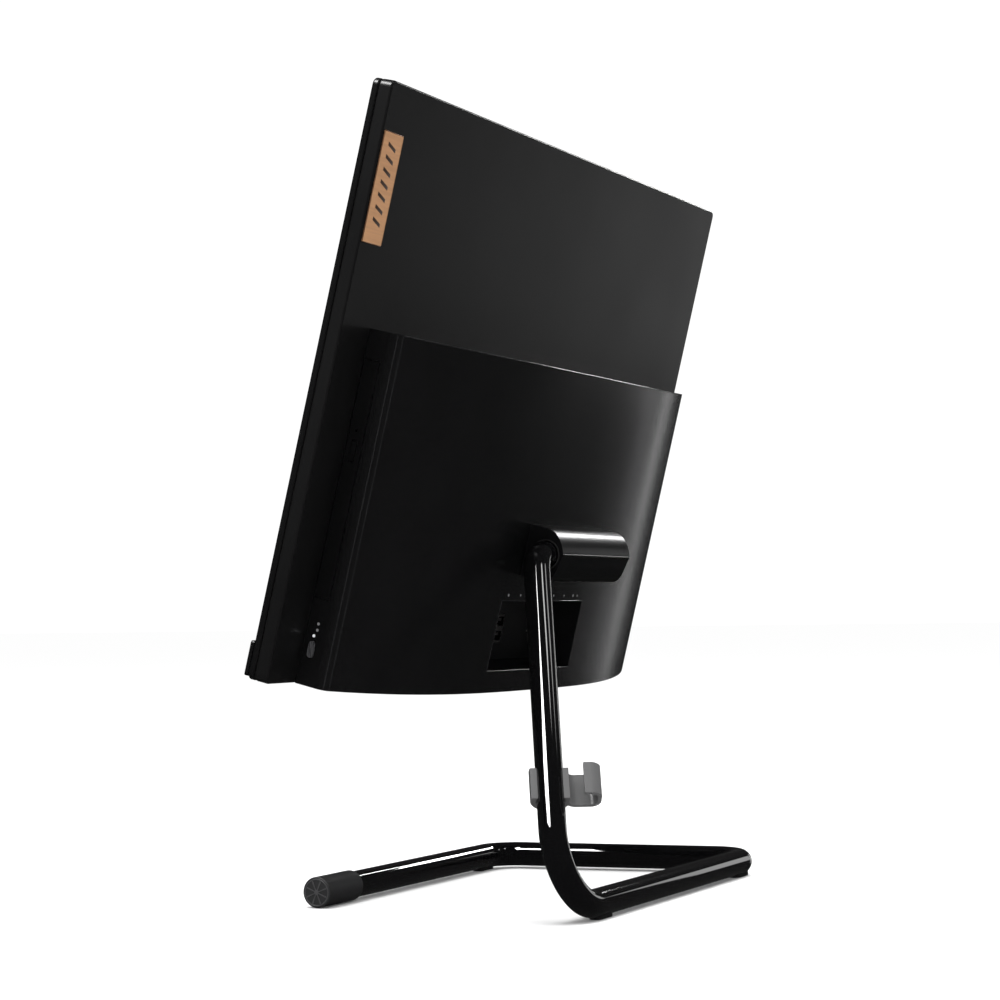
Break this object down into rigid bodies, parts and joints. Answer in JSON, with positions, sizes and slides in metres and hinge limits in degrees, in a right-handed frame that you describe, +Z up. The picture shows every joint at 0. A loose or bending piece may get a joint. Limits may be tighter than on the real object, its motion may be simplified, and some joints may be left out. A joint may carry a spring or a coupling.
{
  "type": "all in one pc",
  "caption": "Desktop computer built into a flat display that tilts on a stand bent from one round tube, with a crowned rear cover, side disc drive and cable clip.",
  "frame": {"origin": "on the floor, in the middle of the whole object's box", "axes": "+Z up, the screen faces -Y, +X to the right of someone who looks at the screen"},
  "size_m": [0.4902, 0.1917, 0.4465],
  "materials": {
    "tube_paint": "gloss black powder paint",
    "sleeve_rubber": "moulded, satin",
    "pad_rubber": "matt",
    "steel": "zinc plated",
    "clip_plastic": "moulded, satin",
    "hinge_plastic": "polished",
    "shell_plastic": "fine moulded texture",
    "cover_plastic": "satin",
    "bezel_plastic": "satin",
    "screen": "anti-glare",
    "lcd": "sheet",
    "chassis_steel": "galvanised sheet",
    "badge_copper": "brushed",
    "port_black": "moulded",
    "port_metal": "nickel plated",
    "board": "solder mask",
    "chip": "epoxy",
    "aluminium": "extruded",
    "copper": "drawn",
    "fan_plastic": "moulded",
    "button_plastic": "polished",
    "lamp": "diffusing"
  },
  "bodies": {
    "stand": {"stand_tube": "tube_paint", "tube_sleeve": "sleeve_rubber", "foot_pads": "pad_rubber", "hinge_axle": "steel", "axle_washers": "steel", "axle_nut": "steel"},
    "clip": {"cable_clip": "clip_plastic"},
    "tray": {"disc_tray": "port_black", "tray_bezel": "bezel_plastic"},
    "rails": {"tray_rails": "chassis_steel"},
    "eject": {"eject_button": "bezel_plastic"},
    "spindle": {"disc_spindle": "port_black"},
    "impeller": {"fan_impeller": "fan_plastic"},
    "power": {"power_button": "button_plastic"},
    "display": {"hinge_bracket": "steel", "hinge_screws": "steel", "hinge_frame": "steel", "hinge_cover": "hinge_plastic", "rear_panel": "shell_plastic", "front_bezel": "bezel_plastic", "screen_glass": "screen", "lcd_module": "lcd", "mid_chassis": "chassis_steel", "camera_module": "chip", "speaker_bar": "bezel_plastic", "speakers": "port_black", "badge_plate": "badge_copper", "lower_rear_cover": "cover_plastic", "port_plate": "port_black", "dc_jack": "port_black", "ethernet_port": "port_metal", "rear_usb_ports": "port_metal", "hdmi_port": "port_metal", "side_board": "board", "audio_jack": "port_black", "side_usb_ports": "port_metal", "card_reader": "port_metal", "power_switch": "board", "power_lamp": "lamp", "main_board": "board", "board_standoffs": "steel", "processor": "chip", "heat_sink": "aluminium", "cooling_fins": "aluminium", "heat_pipe": "copper", "fan_housing": "fan_plastic", "memory_module": "board", "wireless_card": "board", "hard_drive": "aluminium", "drive_bracket": "chassis_steel", "antennas": "copper", "drive_case": "chassis_steel"}
  },
  "joints": [
    {"name": "display_tilt", "type": "hinge", "parent": "stand", "child": "display", "pos_m": [0, 0.02964, 0.20153], "axis": [-1, 0, 0], "range_deg": [-19.2, 5.8]},
    {"name": "clip_slide", "type": "slide", "parent": "stand", "child": "clip", "axis": [-0.4677, -0.2478, 0.8484], "range_m": [-0.015, 0.11]},
    {"name": "tray_slide", "type": "slide", "parent": "display", "child": "tray", "axis": [1, 0, 0], "range_m": [0, 0.125]},
    {"name": "rail_slide", "type": "slide", "parent": "display", "child": "rails", "axis": [1, 0, 0], "range_m": [0, 0.0625]},
    {"name": "eject_press", "type": "slide", "parent": "tray", "child": "eject", "axis": [-1, 0, 0], "range_m": [0, 0.0005], "stiffness_N_per_m": 400},
    {"name": "spindle_spin", "type": "hinge", "parent": "tray", "child": "spindle", "pos_m": [0.1505, -0.01232, 0.23954], "axis": [0, 0.9694, -0.2453], "continuous": true},
    {"name": "fan_spin", "type": "hinge", "parent": "display", "child": "impeller", "pos_m": [0.044, -0.00111, 0.25573], "axis": [0, 0.9694, -0.2453], "continuous": true},
    {"name": "power_press", "type": "slide", "parent": "display", "child": "power", "axis": [-1, 0, 0], "range_m": [0, 0.0008], "stiffness_N_per_m": 500}
  ],
  "couplings": [
    {"joint": "rail_slide", "follows": "tray_slide", "ratio": 0.5}
  ]
}
